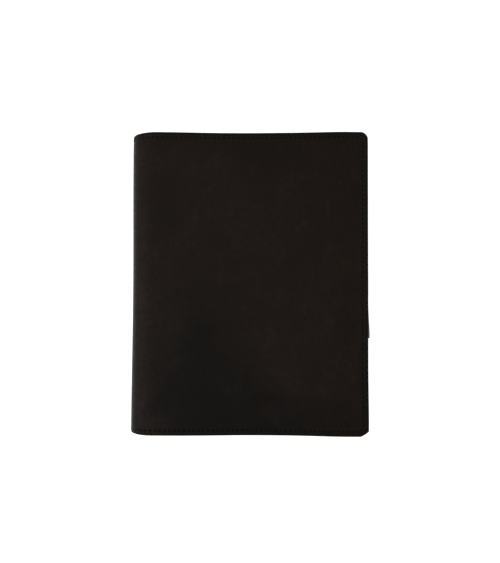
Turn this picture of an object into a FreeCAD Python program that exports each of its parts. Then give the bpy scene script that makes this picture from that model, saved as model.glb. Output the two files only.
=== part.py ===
import FreeCAD, Part
import os

import Sketcher

# A refillable leather notebook cover, closed and lying on its back cover, with the notebook inside.
# The frame: X runs from the spine to the fore-edge, Y up the page and Z up through the closed covers.
# The origin is the middle of the underside. Lengths are in millimetres.

DIMENSIONS = [
    ("cover_width", 172.0, "spine face to fore-edge"),
    ("cover_height", 220.0, "head to tail"),
    ("cover_thickness", 24.0, "closed, over both covers"),
    ("leather", 1.6, "outer hide"),
    ("reinforcement", 0.6, "leatherboard between hide and lining"),
    ("lining", 0.5, "thin inner lining"),
    ("corner_cut_across", 4.4, "fore-edge corner cut, along X"),
    ("corner_cut_up", 3.6, "fore-edge corner cut, along Y"),
    ("seam_inset", 3.0, "middle of the seam from the edge"),
    ("groove_width", 0.9, "stitching groove"),
    ("groove_depth", 0.4, "stitching groove"),
    ("thread_width", 0.7, "laid thread"),
    ("thread_height", 0.35, "laid thread"),
    ("flap_width", 86.0, "pocket flap from the fore-edge"),
    ("flap_leather", 1.1, "pocket flap and its border"),
    ("pocket_ease", 0.15, "free height in the pocket"),
    ("pocket_side_ease", 0.3, "free space beside the board in the pocket"),
    ("notebook_gap", 0.2, "notebook spine from the spine lining"),
    ("notebook_width", 145.0, "over the notebook's own boards"),
    ("notebook_height", 210.0, "over the notebook's own boards"),
    ("board", 1.8, "notebook board and spine"),
    ("endpaper", 0.15, "pasted endpaper"),
    ("page_height", 205.0, "trimmed pages"),
    ("page_inset", 3.0, "pages behind the boards at the fore-edge"),
    ("page_clearance", 0.1, "pages from the pocket flap"),
    ("page_gap", 0.3, "between turning groups of pages"),
    ("body_gap", 0.3, "between pieces that turn apart"),
    ("section", 0.5, "one sewn section of pages"),
    ("band_radius", 0.6, "head and tail band"),
    ("band_clearance", 0.1, "band from the pages"),
    ("card_leather", 0.9, "card pocket"),
    ("card_width", 60.0, "card pocket, across"),
    ("card_height", 66.0, "card pocket, up"),
    ("card_inset", 2.5, "card pocket from the flap's free edge"),
    ("card_seam_inset", 2.5, "card pocket seam from its edge"),
    ("card_seam_height", 0.3, "thread standing on the card pocket"),
    ("card_upper", 43.0, "middle of the upper pocket above mid-height"),
    ("card_lower", 53.0, "middle of the lower pocket below mid-height"),
    ("loop_length", 57.0, "pen loop, along Y"),
    ("loop_radius", 6.9, "pen loop, outside"),
    ("loop_leather", 1.2, "pen loop"),
    ("loop_reach", 2.4, "pen loop past the fore-edge"),
    ("loop_drop", 11.2, "middle of the pen loop below mid-height"),
    ("tab_inset", 0.6, "pen loop tab from the fore-edge"),
]

SECTIONS = 3

# Places that several pieces share, worked out from the sheet.
LEFT = "(-(dims.cover_width + dims.loop_reach) / 2)"
RIGHT = "((dims.cover_width - dims.loop_reach) / 2)"
FOLD = "(dims.leather + dims.lining)"
FOLD_X = f"({LEFT} + {FOLD})"
PANEL_LENGTH = f"({RIGHT} - {FOLD_X})"
PANEL_MIDDLE = f"(({RIGHT} + {FOLD_X}) / 2)"
PANEL_STACK = "(dims.leather + dims.reinforcement + dims.lining)"
SPINE_HEIGHT = f"(dims.cover_thickness - 2 * {FOLD})"
CAVITY = "(dims.board + dims.endpaper + dims.pocket_ease)"
BOARD_LEFT = f"({FOLD_X} + dims.notebook_gap + dims.board + dims.body_gap)"
BOARD_RIGHT = f"({FOLD_X} + dims.notebook_gap + dims.notebook_width)"
PAGE_RIGHT = f"({BOARD_RIGHT} - dims.page_inset)"
FLAP_LEFT = f"({RIGHT} - dims.flap_width)"
FLAP_TOP = f"({PANEL_STACK} + {CAVITY} + dims.flap_leather)"
PAGE_LOW = f"({FLAP_TOP} + dims.page_clearance)"
CARD_STACK = "(dims.card_leather + dims.card_seam_height)"
PAGE_TOP = f"(dims.cover_thickness - {PAGE_LOW} - {CARD_STACK} - dims.page_gap)"
SECTION_PITCH = "(dims.section + dims.page_gap)"


def add_sheet(doc):
    """The driving dimensions, one row each: what it is, and its value under its alias."""
    sheet = doc.addObject("Spreadsheet::Sheet", "dims")
    for row, (alias, value, meaning) in enumerate(DIMENSIONS, start=1):
        sheet.set(f"A{row}", meaning)
        sheet.set(f"B{row}", str(value))
        sheet.setAlias(f"B{row}", alias)
    doc.recompute()


def add_body(doc, label):
    body = doc.addObject("PartDesign::Body", label)
    body.Label = label
    return body


def add_sketch(body, name, plane="XY_Plane"):
    """An empty sketch on one of the body's own origin planes."""
    sketch = body.newObject("Sketcher::SketchObject", name)
    support = [item for item in body.Origin.OriginFeatures if item.Role == plane][0]
    sketch.AttachmentSupport = [(support, "")]
    sketch.MapMode = "FlatFace"
    return sketch


def add_outline(sketch, corners):
    """A closed outline of straight sides, each corner held at two expressions."""
    points = []
    for across, up in corners:
        points.append(FreeCAD.Vector(sketch.evalExpression(across), sketch.evalExpression(up), 0))
    first = sketch.GeometryCount
    count = len(points)
    for i in range(count):
        sketch.addGeometry(Part.LineSegment(points[i], points[(i + 1) % count]), False)
    for i in range(count):
        following = first + (i + 1) % count
        sketch.addConstraint(Sketcher.Constraint("Coincident", first + i, 2, following, 1))
    for i, (across, up) in enumerate(corners):
        for kind, expression, value in (("DistanceX", across, points[i].x), ("DistanceY", up, points[i].y)):
            held = sketch.addConstraint(Sketcher.Constraint(kind, -1, 1, first + i, 1, value))
            sketch.setExpression(f"Constraints[{held}]", expression)


def add_circle(sketch, radius):
    """A circle round the sketch's origin."""
    value = sketch.evalExpression(radius)
    circle = Part.Circle(FreeCAD.Vector(0, 0, 0), FreeCAD.Vector(0, 0, 1), value)
    index = sketch.addGeometry(circle, False)
    sketch.addConstraint(Sketcher.Constraint("Coincident", index, 3, -1, 1))
    held = sketch.addConstraint(Sketcher.Constraint("Radius", index, value))
    sketch.setExpression(f"Constraints[{held}]", radius)


def extrude(body, kind, sketch, length, symmetric=False, backwards=False):
    """A Pad or a Pocket of a sketch, bound to one length."""
    feature = body.newObject(f"PartDesign::{kind}", f"{sketch.Name}_{kind.lower()}")
    feature.Profile = sketch
    if symmetric:
        feature.SideType = "Symmetric"
    feature.Reversed = backwards
    feature.setExpression("Length", length)
    body.Tip = feature
    return feature


def cut(body, sketch, length, symmetric=False, backwards=False):
    """A Pocket that has to take something away."""
    body.Document.recompute()
    before = body.Shape.Volume
    extrude(body, "Pocket", sketch, length, symmetric, backwards)
    body.Document.recompute()
    if body.Shape.Volume >= before:
        raise ValueError(f"{sketch.Name} cuts nothing")


def rectangle(width, height):
    """The corners of a rectangle round the origin."""
    across = f"({width}) / 2"
    up = f"({height}) / 2"
    return [(f"-{across}", f"-{up}"), (across, f"-{up}"), (across, up), (f"-{across}", up)]


def u_shape(left, right, half_height, inset, width):
    """A line of even width that runs along three sides of a panel and is open to the left."""
    near = f"{inset} - ({width}) / 2"
    far = f"{inset} + ({width}) / 2"
    return [
        (left, f"-({half_height}) + {near}"),
        (f"{right} - ({near})", f"-({half_height}) + {near}"),
        (f"{right} - ({near})", f"{half_height} - ({near})"),
        (left, f"{half_height} - ({near})"),
        (left, f"{half_height} - ({far})"),
        (f"{right} - ({far})", f"{half_height} - ({far})"),
        (f"{right} - ({far})", f"-({half_height}) + {far}"),
        (left, f"-({half_height}) + {far}"),
    ]


def settle(body, across, up, flipped=False, along="0"):
    """Places a body. A flipped one is turned over about X and measured down from the top."""
    if flipped:
        turn = FreeCAD.Rotation(FreeCAD.Vector(1, 0, 0), 180)
        body.Placement = FreeCAD.Placement(FreeCAD.Vector(0, 0, 0), turn)
        up = f"dims.cover_thickness - ({up})"
    body.setExpression("Placement.Base.x", across)
    body.setExpression("Placement.Base.y", along)
    body.setExpression("Placement.Base.z", up)


def add_plate(doc, label, corners, thickness):
    """A body that is one outline padded up from its own XY plane."""
    body = add_body(doc, label)
    sketch = add_sketch(body, f"{label}_outline")
    add_outline(sketch, corners)
    extrude(body, "Pad", sketch, thickness)
    return body


# ---------------------------------------------------------------- the covers


def panel_outline(length):
    """A panel with its two fore-edge corners cut off."""
    half = f"({length}) / 2"
    side = "dims.cover_height / 2"
    return [
        (f"-{half}", f"-{side}"),
        (f"{half} - dims.corner_cut_across", f"-{side}"),
        (half, f"-{side} + dims.corner_cut_up"),
        (half, f"{side} - dims.corner_cut_up"),
        (f"{half} - dims.corner_cut_across", side),
        (f"-{half}", side),
    ]


def add_panel_leather(doc, label, flipped):
    """One side of the outer hide, with the groove that its seam lies in."""
    body = add_plate(doc, label, panel_outline(PANEL_LENGTH), "dims.leather")
    groove = add_sketch(body, f"{label}_groove")
    half = f"{PANEL_LENGTH} / 2"
    # The groove starts at the fold, so it runs out of the panel's left side.
    line = u_shape(f"-{half}", half, "dims.cover_height / 2", "dims.seam_inset", "dims.groove_width")
    add_outline(groove, line)
    cut(body, groove, "dims.groove_depth", backwards=True)
    settle(body, PANEL_MIDDLE, "0", flipped)


def add_panel_layer(doc, label, thickness, height, flipped):
    """A full-size layer inside the outer hide."""
    body = add_plate(doc, label, panel_outline(PANEL_LENGTH), thickness)
    settle(body, PANEL_MIDDLE, height, flipped)


def add_panel_stitching(doc, label, flipped):
    """The seam's laid thread along the head, fore-edge and tail of one panel."""
    half = f"{PANEL_LENGTH} / 2"
    line = u_shape(f"-{half}", half, "dims.cover_height / 2", "dims.seam_inset", "dims.thread_width")
    body = add_plate(doc, label, line, "dims.thread_height")
    settle(body, PANEL_MIDDLE, "dims.groove_depth - dims.thread_height", flipped)


def add_pocket_flap(doc, label, flipped):
    """A sheet sewn down along three sides and raised over the board that slides in from the spine."""
    body = add_plate(doc, label, panel_outline("dims.flap_width"), "dims.flap_leather")
    middle = f"({RIGHT} - dims.flap_width / 2)"
    open_side = "-dims.flap_width / 2"
    cavity_end = f"({BOARD_RIGHT} + dims.pocket_side_ease - {middle})"
    cavity_side = "(dims.notebook_height / 2 + dims.pocket_side_ease)"
    raised_end = f"({cavity_end} + dims.flap_leather)"
    raised_side = f"({cavity_side} + dims.flap_leather)"
    raised = add_sketch(body, f"{label}_raised")
    add_outline(
        raised,
        [
            (open_side, f"-{raised_side}"),
            (raised_end, f"-{raised_side}"),
            (raised_end, raised_side),
            (open_side, raised_side),
        ],
    )
    extrude(body, "Pad", raised, f"{CAVITY} + dims.flap_leather")
    cavity = add_sketch(body, f"{label}_cavity")
    add_outline(
        cavity,
        [
            (open_side, f"-{cavity_side}"),
            (cavity_end, f"-{cavity_side}"),
            (cavity_end, cavity_side),
            (open_side, cavity_side),
        ],
    )
    cut(body, cavity, CAVITY, backwards=True)
    settle(body, middle, PANEL_STACK, flipped)


def add_cover_side(doc, side, flipped):
    """Everything sewn into the front or the back cover."""
    add_panel_leather(doc, f"{side}_outer_leather", flipped)
    add_panel_layer(doc, f"{side}_reinforcement", "dims.reinforcement", "dims.leather", flipped)
    lining_height = "dims.leather + dims.reinforcement"
    add_panel_layer(doc, f"{side}_lining", "dims.lining", lining_height, flipped)
    add_panel_stitching(doc, f"{side}_stitching", flipped)
    add_pocket_flap(doc, f"{side}_pocket_flap", flipped)


def add_spine(doc):
    """The hide and lining between the two folds, which lie one lining's depth inside the corners."""
    side = "dims.cover_height / 2"
    face = "dims.leather / 2"
    floor = "-dims.leather / 2 + dims.groove_depth"
    near = f"{side} - dims.seam_inset + dims.groove_width / 2"
    far = f"{side} - dims.seam_inset - dims.groove_width / 2"
    section = [
        (face, f"-{side}"),
        (face, side),
        (f"-{face}", side),
        (f"-{face}", near),
        (floor, near),
        (floor, far),
        (f"-{face}", far),
        (f"-{face}", f"-({far})"),
        (floor, f"-({far})"),
        (floor, f"-({near})"),
        (f"-{face}", f"-({near})"),
        (f"-{face}", f"-{side}"),
    ]
    leather = add_plate(doc, "spine_outer_leather", section, SPINE_HEIGHT)
    settle(leather, f"{LEFT} + dims.leather / 2", FOLD)
    lining = add_plate(doc, "spine_lining", rectangle("dims.lining", "dims.cover_height"), SPINE_HEIGHT)
    settle(lining, f"{FOLD_X} - dims.lining / 2", FOLD)


def add_spine_stitching(doc):
    """The seam goes on round the spine at the head and at the tail."""
    body = add_body(doc, "spine_stitching")
    sketch = add_sketch(body, "spine_stitching_outline")
    across = "dims.thread_height / 2"
    near = "dims.cover_height / 2 - dims.seam_inset + dims.thread_width / 2"
    far = "dims.cover_height / 2 - dims.seam_inset - dims.thread_width / 2"
    add_outline(sketch, [(f"-{across}", far), (across, far), (across, near), (f"-{across}", near)])
    add_outline(
        sketch,
        [
            (f"-{across}", f"-({near})"),
            (across, f"-({near})"),
            (across, f"-({far})"),
            (f"-{across}", f"-({far})"),
        ],
    )
    extrude(body, "Pad", sketch, SPINE_HEIGHT)
    settle(body, f"{LEFT} + dims.groove_depth - dims.thread_height / 2", FOLD)


def add_card_pocket(doc, label, along):
    """A card pocket on the front pocket flap, open at its head, and the thread round its other sides."""
    patch = add_plate(doc, label, rectangle("dims.card_width", "dims.card_height"), "dims.card_leather")
    middle = f"{FLAP_LEFT} + dims.card_inset + dims.card_width / 2"
    settle(patch, middle, FLAP_TOP, flipped=True, along=along)
    half = "(dims.card_width / 2)"
    side = "(dims.card_height / 2)"
    outer = "(dims.card_seam_inset - dims.thread_width / 2)"
    inner = "(dims.card_seam_inset + dims.thread_width / 2)"
    # Turned over about X, the pocket's open head is at this outline's low side.
    line = [
        (f"-{half} + {outer}", f"-{side} + {outer}"),
        (f"-{half} + {inner}", f"-{side} + {outer}"),
        (f"-{half} + {inner}", f"{side} - {inner}"),
        (f"{half} - {inner}", f"{side} - {inner}"),
        (f"{half} - {inner}", f"-{side} + {outer}"),
        (f"{half} - {outer}", f"-{side} + {outer}"),
        (f"{half} - {outer}", f"{side} - {outer}"),
        (f"-{half} + {outer}", f"{side} - {outer}"),
    ]
    thread = add_plate(doc, f"{label}_stitching", line, "dims.card_seam_height")
    settle(thread, middle, f"{FLAP_TOP} + dims.card_leather", flipped=True, along=along)


def add_pen_loop(doc):
    """A leather tube with a tab under one side, which the fore-edge seam of the back cover holds."""
    body = add_body(doc, "pen_loop")
    outside = add_sketch(body, "pen_loop_outside", "XZ_Plane")
    add_circle(outside, "dims.loop_radius")
    extrude(body, "Pad", outside, "dims.loop_length", symmetric=True)
    tab = add_sketch(body, "pen_loop_tab", "XZ_Plane")
    near = "dims.loop_leather"
    far = "dims.loop_radius - dims.loop_reach - dims.tab_inset"
    low = "-dims.loop_radius"
    high = "-dims.loop_radius + dims.loop_leather"
    add_outline(tab, [(near, low), (far, low), (far, high), (near, high)])
    extrude(body, "Pad", tab, "dims.loop_length", symmetric=True)
    bore = add_sketch(body, "pen_loop_bore", "XZ_Plane")
    add_circle(bore, "dims.loop_radius - dims.loop_leather")
    cut(body, bore, "dims.loop_length + dims.body_gap", symmetric=True)
    height = f"{PANEL_STACK} + dims.flap_leather + dims.loop_radius"
    settle(body, f"{RIGHT} + dims.loop_reach - dims.loop_radius", height, along="-dims.loop_drop")


# ---------------------------------------------------------------- the notebook


def add_sheet_of_book(doc, label, right, height, thickness, low, flipped=False, left=BOARD_LEFT):
    """A board, an endpaper or a group of pages that starts at the notebook's spine."""
    body = add_plate(doc, label, rectangle(f"{right} - {left}", height), thickness)
    settle(body, f"({right} + {left}) / 2", low, flipped)


def add_book_side(doc, side, flipped):
    """One of the notebook's boards and the endpaper pasted to it."""
    height = "dims.notebook_height"
    add_sheet_of_book(doc, f"notebook_{side}_board", BOARD_RIGHT, height, "dims.board", PANEL_STACK, flipped)
    paper_low = f"{PANEL_STACK} + dims.board"
    add_sheet_of_book(
        doc, f"notebook_{side}_endpaper", PAGE_RIGHT, "dims.page_height", "dims.endpaper", paper_low, flipped
    )


def add_pages(doc):
    """The block of pages on the back board, and the top sections, which lift off it as the spine turns."""
    left = f"({BOARD_LEFT} + dims.body_gap)"
    height = "dims.page_height"
    block_top = f"({PAGE_TOP} - {SECTIONS} * {SECTION_PITCH})"
    add_sheet_of_book(doc, "page_block", PAGE_RIGHT, height, f"{block_top} - {PAGE_LOW}", PAGE_LOW)
    for i in range(SECTIONS):
        low = f"{block_top} + {i} * {SECTION_PITCH} + dims.page_gap"
        add_sheet_of_book(doc, f"page_section_{i + 1}", PAGE_RIGHT, height, "dims.section", low, left=left)


def add_notebook_spine(doc):
    """The notebook's own spine, which turns with the cover's spine and stays clear of both boards."""
    low = f"({PANEL_STACK} + dims.body_gap)"
    outline = rectangle("dims.board", "dims.notebook_height")
    body = add_plate(doc, "notebook_spine", outline, f"dims.cover_thickness - 2 * {low}")
    settle(body, f"{FOLD_X} + dims.notebook_gap + dims.board / 2", low)


def add_band(doc, label, sign):
    """A small woven roll at one end of the pages' back."""
    roll = doc.addObject("Part::Cylinder", label)
    roll.Label = label
    low = f"({PAGE_LOW} + dims.body_gap)"
    roll.setExpression("Radius", "dims.band_radius")
    roll.setExpression("Height", f"{PAGE_TOP} - {low}")
    roll.setExpression("Placement.Base.x", f"{BOARD_LEFT} + dims.band_radius - dims.band_clearance")
    offset = "dims.page_height / 2 + dims.band_radius + dims.band_clearance"
    roll.setExpression("Placement.Base.y", f"{sign} * ({offset})")
    roll.setExpression("Placement.Base.z", low)


def build():
    doc = FreeCAD.newDocument("notebook_cover")
    add_sheet(doc)
    add_cover_side(doc, "back", flipped=False)
    add_cover_side(doc, "front", flipped=True)
    add_spine(doc)
    add_spine_stitching(doc)
    add_card_pocket(doc, "card_pocket_upper", "dims.card_upper")
    add_card_pocket(doc, "card_pocket_lower", "-dims.card_lower")
    add_pen_loop(doc)
    add_book_side(doc, "back", flipped=False)
    add_book_side(doc, "front", flipped=True)
    add_pages(doc)
    add_notebook_spine(doc)
    add_band(doc, "head_band", 1)
    add_band(doc, "tail_band", -1)
    doc.recompute()
    return doc


def subparts(doc):
    """The objects that are pieces of the cover: every body and every primitive outside one."""
    return [item for item in doc.Objects if item.TypeId in ("PartDesign::Body", "Part::Cylinder")]


def check(doc):
    for item in doc.Objects:
        if "Invalid" in item.State or "Error" in item.State:
            raise ValueError(f"{item.Label} is {item.State}")
    for item in subparts(doc):
        if item.Shape.isNull() or not item.Shape.isValid() or not item.Shape.Solids:
            raise ValueError(f"{item.Label} has no valid solid")


def export(doc):
    os.makedirs("parts", exist_ok=True)
    for item in subparts(doc):
        item.Shape.exportStep(f"parts/{item.Label}.step")
        print(f"{item.Label}: {len(item.Shape.Solids)} solid(s), {item.Shape.Volume:.1f} mm3")


document = build()
check(document)
export(document)
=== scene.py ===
import math

import bmesh
import bpy
import numpy as np
from mathutils import Matrix, Vector


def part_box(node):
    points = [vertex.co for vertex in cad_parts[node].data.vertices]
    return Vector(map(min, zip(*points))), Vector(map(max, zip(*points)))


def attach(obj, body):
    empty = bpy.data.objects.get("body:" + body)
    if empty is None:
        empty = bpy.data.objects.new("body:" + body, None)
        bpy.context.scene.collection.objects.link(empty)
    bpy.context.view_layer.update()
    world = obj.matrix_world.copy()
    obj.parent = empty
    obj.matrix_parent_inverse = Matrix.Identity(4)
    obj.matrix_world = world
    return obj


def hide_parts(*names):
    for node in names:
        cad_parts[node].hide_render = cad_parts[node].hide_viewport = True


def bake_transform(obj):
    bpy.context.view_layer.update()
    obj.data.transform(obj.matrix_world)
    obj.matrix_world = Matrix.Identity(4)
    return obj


# A refillable leather notebook cover, closed and lying on its back cover. X runs from the spine to the
# fore-edge, Y up the page and Z up through the covers. Lengths are in metres.

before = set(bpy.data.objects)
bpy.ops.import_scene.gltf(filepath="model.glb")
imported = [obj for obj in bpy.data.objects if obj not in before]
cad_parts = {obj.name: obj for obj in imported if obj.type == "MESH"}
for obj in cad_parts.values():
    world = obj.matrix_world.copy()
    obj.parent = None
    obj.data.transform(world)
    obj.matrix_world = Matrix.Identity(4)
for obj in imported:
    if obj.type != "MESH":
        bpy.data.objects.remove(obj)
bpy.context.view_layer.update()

MM = 0.001

# ---- sizes that the frame gives

FRONT_LOW, FRONT_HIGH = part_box("front_outer_leather")
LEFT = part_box("spine_outer_leather")[0].x
RIGHT = FRONT_HIGH.x
HALF = FRONT_HIGH.y
MIDDLE = FRONT_HIGH.z / 2
LEATHER = FRONT_HIGH.z - FRONT_LOW.z
LINING_DEPTH = FRONT_HIGH.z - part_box("front_lining")[1].z
STACK = FRONT_HIGH.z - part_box("front_lining")[0].z
FLAP_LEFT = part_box("front_pocket_flap")[0].x
FLAP_DEPTH = FRONT_HIGH.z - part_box("front_pocket_flap")[0].z
BOOK_LOW, BOOK_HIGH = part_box("notebook_front_board")
BOARD = BOOK_HIGH.z - BOOK_LOW.z
PAPER_LOW, PAPER_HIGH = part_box("page_block")

# ---- sizes of the leatherwork

ROLL_FRONT = 19 * MM  # how far in from the spine the front starts to roll down
ROLL_BACK = 9 * MM
ROLL_POWER = 3
ROLL_STEPS = 720
SEAM_PITCH = 3.5 * MM
SEAM_INSET = 3.65 * MM
SLOT_REACH = 1.05 * MM
SLOT_WIDTH = 0.5 * MM
BORDER = 7 * MM  # the finely modelled border that holds the seam
BORDER_TURN = 2 * MM
COLUMNS = 8  # mesh columns of the border to one stitch
CORNER_COLUMNS = 3 * COLUMNS
CORNER_STEPS = 180
FLAP = 1.1 * MM
GAP = 0.03 * MM  # between layers that lie on each other
SPINE_WAIST = 0.6 * MM  # how far the spine is drawn in, a little below mid-height
SPINE_WAIST_Y = -8 * MM
SPINE_WAIST_REACH = 100 * MM
SPINE_WAIST_FADE = 32 * MM
FORE_FLARE = 0.35 * MM  # how far the fore-edge stands out at its tail end
FORE_FLARE_START = 60 * MM  # how far below mid-height that begins
FORE_FLARE_REACH = 40 * MM
FORE_FLARE_FADE = 20 * MM
FORE_SAG = 1.3 * MM  # how far the front hangs down past the notebook's fore-edge
END_SAG = 0.35 * MM

# Head and tail differ a little: 1 is the head and -1 the tail.
WAIST = {1: 0.58 * MM, -1: 0.52 * MM}  # how far the edge is drawn in near mid-width
WAIST_START = {1: 14 * MM, -1: 32 * MM}  # how far in from the spine that begins
WAIST_SPAN = 125 * MM
TUCK = {1: 4.2 * MM, -1: 3.9 * MM}  # how far the edge is drawn in at mid-spine
TUCK_REACH = {1: 25 * MM, -1: 22 * MM}
CORNER_CUT = {1: (4.7 * MM, 4.8 * MM, 1.68), -1: (5.9 * MM, 4 * MM, 1.2)}  # across, up, roundness
CORNER_FLARE = {1: 0.8 * MM, -1: 0.5 * MM}  # how far the edge stands out towards the fore-edge corner
CORNER_FLARE_START = 55 * MM
CORNER_FLARE_SPAN = 50 * MM


def steps(*distances):
    """A list of distances, given in millimetres."""
    return [distance * MM for distance in distances]


# The border's mesh lines, by their distance from the outline.
ACROSS_FINE = steps(0, 0.08, 0.2, 0.35, 0.6, 1, 1.6, 2.3, 2.8, 3.1, 3.4, 3.65, 3.9, 4.2, 4.5, 4.9)
ACROSS_FINE += steps(5.4, 6.1, 7)
ACROSS_LAYER = steps(0.25, 0.45, 0.9, 1.8, 3.1, 3.65, 4.2, 4.8, 5.7, 7)


def smooth(share):
    """0 before 0, 1 after 1, and an even turn between."""
    share = np.clip(share, 0, 1)
    return share * share * (3 - 2 * share)


# ---- the closed cover's shape


class Wrap:
    """The outside of one half of the closed cover.

    u runs along it from mid-spine to the fore-edge, y up the page, and depth is how far inside a point lies.
    """

    def __init__(self, side, roll):
        self.side = side
        turn = np.linspace(0, math.pi / 2, ROLL_STEPS + 1)
        near = np.cos(turn).clip(0) ** (2 / ROLL_POWER)
        high = np.sin(turn) ** (2 / ROLL_POWER)
        across = LEFT + roll * (1 - near)
        normal_x = -(near ** (ROLL_POWER - 1)) / roll
        normal_up = high ** (ROLL_POWER - 1) / MIDDLE
        length = np.hypot(normal_x, normal_up)
        self.across = np.append(across, RIGHT)
        self.up = np.append(MIDDLE * high, MIDDLE)
        self.normal_x = np.append(normal_x / length, 0)
        self.normal_up = np.append(normal_up / length, 1)
        self.along = np.append(0, np.cumsum(np.hypot(np.diff(self.across), np.diff(self.up))))
        self.length = self.along[-1]

    def u_at(self, x):
        """Where along the outside it reaches x."""
        return float(np.interp(x, self.across, self.along))

    def place_straight(self, u, y, depth):
        """A place whose head and tail edges are straight."""
        u, y, depth = np.broadcast_arrays(*(np.asarray(value, float) for value in (u, y, depth)))
        outside_x = np.interp(u, self.along, self.across)
        x = outside_x - np.interp(u, self.along, self.normal_x) * depth
        up = np.interp(u, self.along, self.up) - np.interp(u, self.along, self.normal_up) * depth
        drawn_in = np.cos(math.pi / 2 * np.clip((y - SPINE_WAIST_Y) / SPINE_WAIST_REACH, -1, 1)) ** 2
        x = x + SPINE_WAIST * drawn_in * (1 - smooth((outside_x - LEFT) / SPINE_WAIST_FADE))
        flared = FORE_FLARE * smooth((-y - FORE_FLARE_START) / FORE_FLARE_REACH)
        x = x + flared * smooth((outside_x - RIGHT + FORE_FLARE_FADE) / FORE_FLARE_FADE)
        if self.side > 0:
            up = up - sag(outside_x, y)
        return np.stack([x, y, MIDDLE + self.side * up], axis=-1)

    def place(self, u, y, depth):
        """A place in the leatherwork, whose head and tail edges are drawn in."""
        return self.place_straight(u, y * (1 + self.edge_shift(u, y) / HALF), depth)

    def edge_shift(self, u, y):
        """How far head and tail stand out from a straight edge."""
        x = np.interp(u, self.along, self.across)
        ends = (WAIST, WAIST_START, TUCK, TUCK_REACH, CORNER_FLARE)
        waist, start, depth, reach, flare = (np.where(y > 0, end[1], end[-1]) for end in ends)
        waist = waist * np.sin(math.pi * np.clip((x - LEFT - start) / WAIST_SPAN, 0, 1)) ** 2
        tuck = depth * (1 - np.clip(u / reach, 0, 1)) ** 2
        return flare * smooth((x - RIGHT + CORNER_FLARE_START) / CORNER_FLARE_SPAN) - waist - tuck


def sag(x, y):
    """How far the front hangs below flat: past the notebook's edges and in soft crossed waves."""
    fore = FORE_SAG * smooth((x - BOOK_HIGH.x + 2 * MM) / (RIGHT - BOOK_HIGH.x))
    end = END_SAG * smooth((np.abs(y) - BOOK_HIGH.y + 3 * MM) / (7 * MM))
    rolled = smooth((x - LEFT) / (30 * MM))
    wave = 0.16 * np.sin(x * 62 + y * 21 + 0.7) * np.cos(y * 43 - x * 17 + 0.4)
    wave = wave + 0.09 * np.sin(x * 131 - y * 75 + 2.1) * np.cos(y * 118 + x * 38)
    return fore + end + wave * MM * rolled


FRONT = Wrap(1, ROLL_FRONT)
BACK = Wrap(-1, ROLL_BACK)


# ---- mesh helpers


def make_object(name, vertices, faces, look, sharp_angle=50):
    """A closed piece, smooth but for its sharp edges. look is a material and a slot."""
    mesh = bpy.data.meshes.new(name)
    mesh.from_pydata([tuple(vertex) for vertex in vertices], [], faces)
    build = bmesh.new()
    build.from_mesh(mesh)
    bmesh.ops.recalc_face_normals(build, faces=build.faces)
    limit = math.radians(sharp_angle)
    for face in build.faces:
        face.smooth = True
    for edge in build.edges:
        edge.smooth = edge.calc_face_angle(0) < limit
    build.to_mesh(mesh)
    build.free()
    material, slot = look
    mesh.materials.append(material)
    piece = bpy.data.objects.new(name, mesh)
    bpy.context.scene.collection.objects.link(piece)
    return piece


def grid_faces(first, columns, rows):
    """Quads over rows of vertices that start at number first."""
    corner = (first + np.arange(rows - 1)[:, None] * columns + np.arange(columns - 1)).ravel()
    return np.stack([corner, corner + 1, corner + columns + 1, corner + columns], axis=1).tolist()


def grid_outline(columns, rows):
    """The numbers of a grid's outer vertices, in order round it."""
    loop = list(range(columns))
    loop += [row * columns + columns - 1 for row in range(1, rows)]
    loop += [(rows - 1) * columns + column for column in range(columns - 2, -1, -1)]
    return loop + [row * columns for row in range(rows - 2, 0, -1)]


def tube_faces(first, around, rings):
    """Quads over rings of vertices that start at number first."""
    faces = []
    for row in range(rings - 1):
        for i in range(around):
            a, b = first + row * around + i, first + row * around + (i + 1) % around
            faces.append([a, b, b + around, a + around])
    return faces


def unit(rows):
    """The same directions with length 1."""
    return rows / np.linalg.norm(rows, axis=1)[:, None]


def resample(points, count):
    """The same line as count + 1 evenly spaced points."""
    along = np.append(0, np.cumsum(np.linalg.norm(np.diff(points, axis=0), axis=1)))
    wanted = np.linspace(0, along[-1], count + 1)
    return np.stack([np.interp(wanted, along, points[:, axis]) for axis in range(points.shape[1])], axis=1)


def close_layers(faces, loop, count):
    """Two copies of a surface, one turned over, and the wall between their outlines."""
    closed = faces + [[count + corner for corner in reversed(face)] for face in faces]
    for near, far in zip(loop, loop[1:] + loop[:1]):
        closed.append([far, near, count + near, count + far])
    return closed


# ---- panels with a sewn border


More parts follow.
